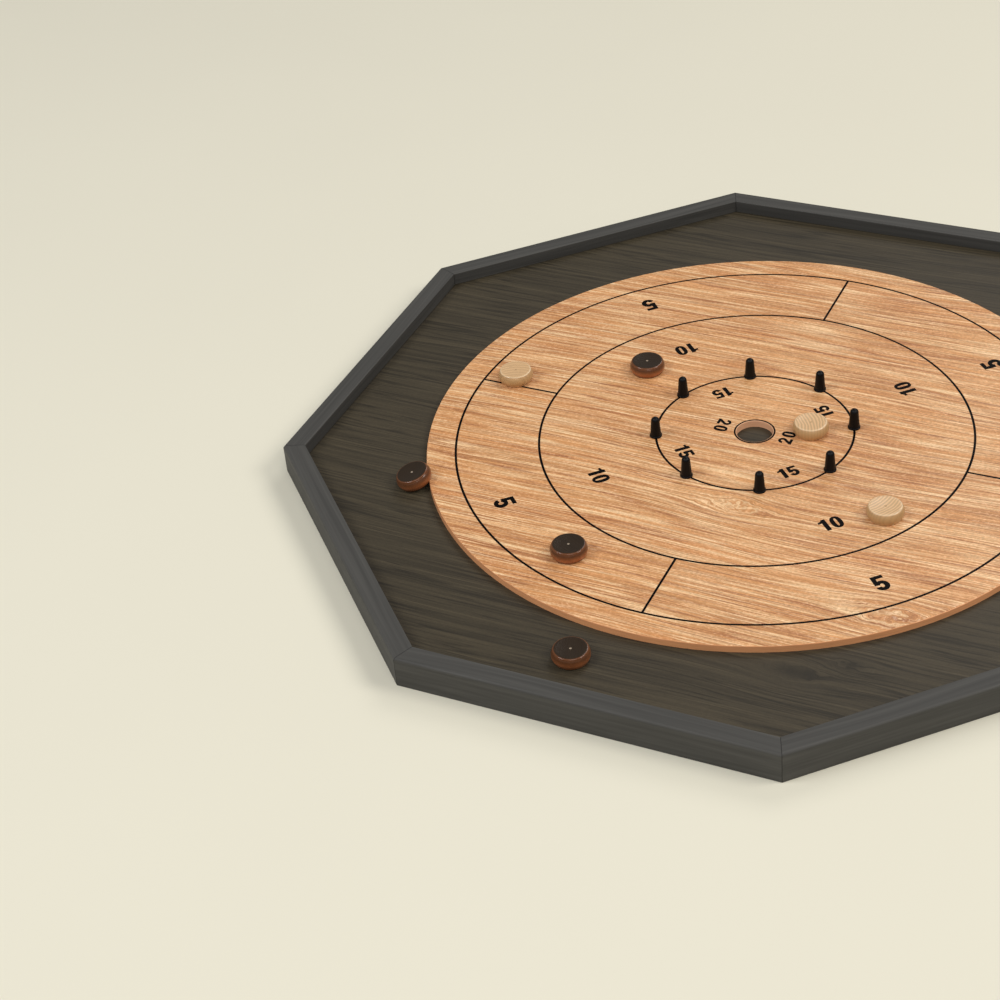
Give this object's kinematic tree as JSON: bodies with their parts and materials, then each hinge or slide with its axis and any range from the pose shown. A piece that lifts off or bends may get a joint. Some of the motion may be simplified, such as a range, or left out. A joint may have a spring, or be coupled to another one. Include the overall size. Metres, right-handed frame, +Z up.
{
  "type": "crokinole board",
  "caption": "Octagonal tabletop board with a raised round playing surface, a ring of rubber pegs, a centre hole, a ditch, loose wooden discs and a second games side underneath.",
  "frame": {"origin": "centre of the octagon, on the plane of the rail undersides that the board stands on", "axes": "+Z up out of the playing surface; -Y towards one player; the octagon has flat sides facing +X, -X, +Y and -Y"},
  "size_m": [0.774, 0.774, 0.0421],
  "materials": {
    "stained_rail": "satin",
    "key_wood": "raw",
    "printed_panel": "satin lacquer",
    "dark_panel": "satin lacquer",
    "light_panel": "satin lacquer",
    "steel_pin": "turned",
    "black_rubber": "satin",
    "dark_disc": "gloss lacquer",
    "light_disc": "satin lacquer"
  },
  "bodies": {
    "board": {"rail_1": "stained_rail", "rail_2": "stained_rail", "rail_3": "stained_rail", "rail_4": "stained_rail", "rail_5": "stained_rail", "rail_6": "stained_rail", "rail_7": "stained_rail", "rail_8": "stained_rail", "corner_key_1": "key_wood", "corner_key_2": "key_wood", "corner_key_3": "key_wood", "corner_key_4": "key_wood", "corner_key_5": "key_wood", "corner_key_6": "key_wood", "corner_key_7": "key_wood", "corner_key_8": "key_wood", "games_panel": "printed_panel", "ditch_panel": "dark_panel", "playing_surface": "light_panel"},
    "peg_1": {"peg_post_1": "steel_pin", "peg_bumper_1": "black_rubber"},
    "peg_2": {"peg_post_2": "steel_pin", "peg_bumper_2": "black_rubber"},
    "peg_3": {"peg_post_3": "steel_pin", "peg_bumper_3": "black_rubber"},
    "peg_4": {"peg_post_4": "steel_pin", "peg_bumper_4": "black_rubber"},
    "peg_5": {"peg_post_5": "steel_pin", "peg_bumper_5": "black_rubber"},
    "peg_6": {"peg_post_6": "steel_pin", "peg_bumper_6": "black_rubber"},
    "peg_7": {"peg_post_7": "steel_pin", "peg_bumper_7": "black_rubber"},
    "peg_8": {"peg_post_8": "steel_pin", "peg_bumper_8": "black_rubber"},
    "dark_disc_ten": {"dark_disc_ten": "dark_disc"},
    "dark_disc_five": {"dark_disc_five": "dark_disc"},
    "dark_disc_ditch": {"dark_disc_ditch": "dark_disc"},
    "dark_disc_leaning": {"dark_disc_leaning": "dark_disc"},
    "light_disc_fifteen": {"light_disc_fifteen": "light_disc"},
    "light_disc_ten": {"light_disc_ten": "light_disc"},
    "light_disc_five": {"light_disc_five": "light_disc"}
  },
  "joints": [
    {"name": "peg_1_pull", "type": "slide", "parent": "board", "child": "peg_1", "axis": [0, 0, 1], "range_m": [0, 0.018]},
    {"name": "peg_2_pull", "type": "slide", "parent": "board", "child": "peg_2", "axis": [0, 0, 1], "range_m": [0, 0.018]},
    {"name": "peg_3_pull", "type": "slide", "parent": "board", "child": "peg_3", "axis": [0, 0, 1], "range_m": [0, 0.018]},
    {"name": "peg_4_pull", "type": "slide", "parent": "board", "child": "peg_4", "axis": [0, 0, 1], "range_m": [0, 0.018]},
    {"name": "peg_5_pull", "type": "slide", "parent": "board", "child": "peg_5", "axis": [0, 0, 1], "range_m": [0, 0.018]},
    {"name": "peg_6_pull", "type": "slide", "parent": "board", "child": "peg_6", "axis": [0, 0, 1], "range_m": [0, 0.018]},
    {"name": "peg_7_pull", "type": "slide", "parent": "board", "child": "peg_7", "axis": [0, 0, 1], "range_m": [0, 0.018]},
    {"name": "peg_8_pull", "type": "slide", "parent": "board", "child": "peg_8", "axis": [0, 0, 1], "range_m": [0, 0.018]},
    {"name": "dark_disc_ten_slide", "type": "slide", "parent": "board", "child": "dark_disc_ten", "axis": [-0.3289, 0.9444, 0], "range_m": [-0.027, 0.12]},
    {"name": "dark_disc_five_slide", "type": "slide", "parent": "board", "child": "dark_disc_five", "axis": [0.9191, 0.3939, 0], "range_m": [-0.038, 0.118]},
    {"name": "light_disc_fifteen_slide", "type": "slide", "parent": "board", "child": "light_disc_fifteen", "axis": [-0.887, 0.4617, 0], "range_m": [-0.014, 0.045]},
    {"name": "light_disc_ten_slide", "type": "slide", "parent": "board", "child": "light_disc_ten", "axis": [0.2706, -0.9627, 0], "range_m": [-0.056, 0.1]},
    {"name": "light_disc_five_slide", "type": "slide", "parent": "board", "child": "light_disc_five", "axis": [0.6782, -0.7349, 0], "range_m": [-0.036, 0.165]},
    {"name": "dark_disc_ditch_travel", "type": "hinge", "parent": "board", "child": "dark_disc_ditch", "pos_m": [0, 0, 0.0216], "axis": [0, 0, 1], "range_deg": [-40, 250]},
    {"name": "dark_disc_leaning_travel", "type": "hinge", "parent": "board", "child": "dark_disc_leaning", "pos_m": [0, 0, 0.0216], "axis": [0, 0, 1], "range_deg": [-30, 30]}
  ]
}
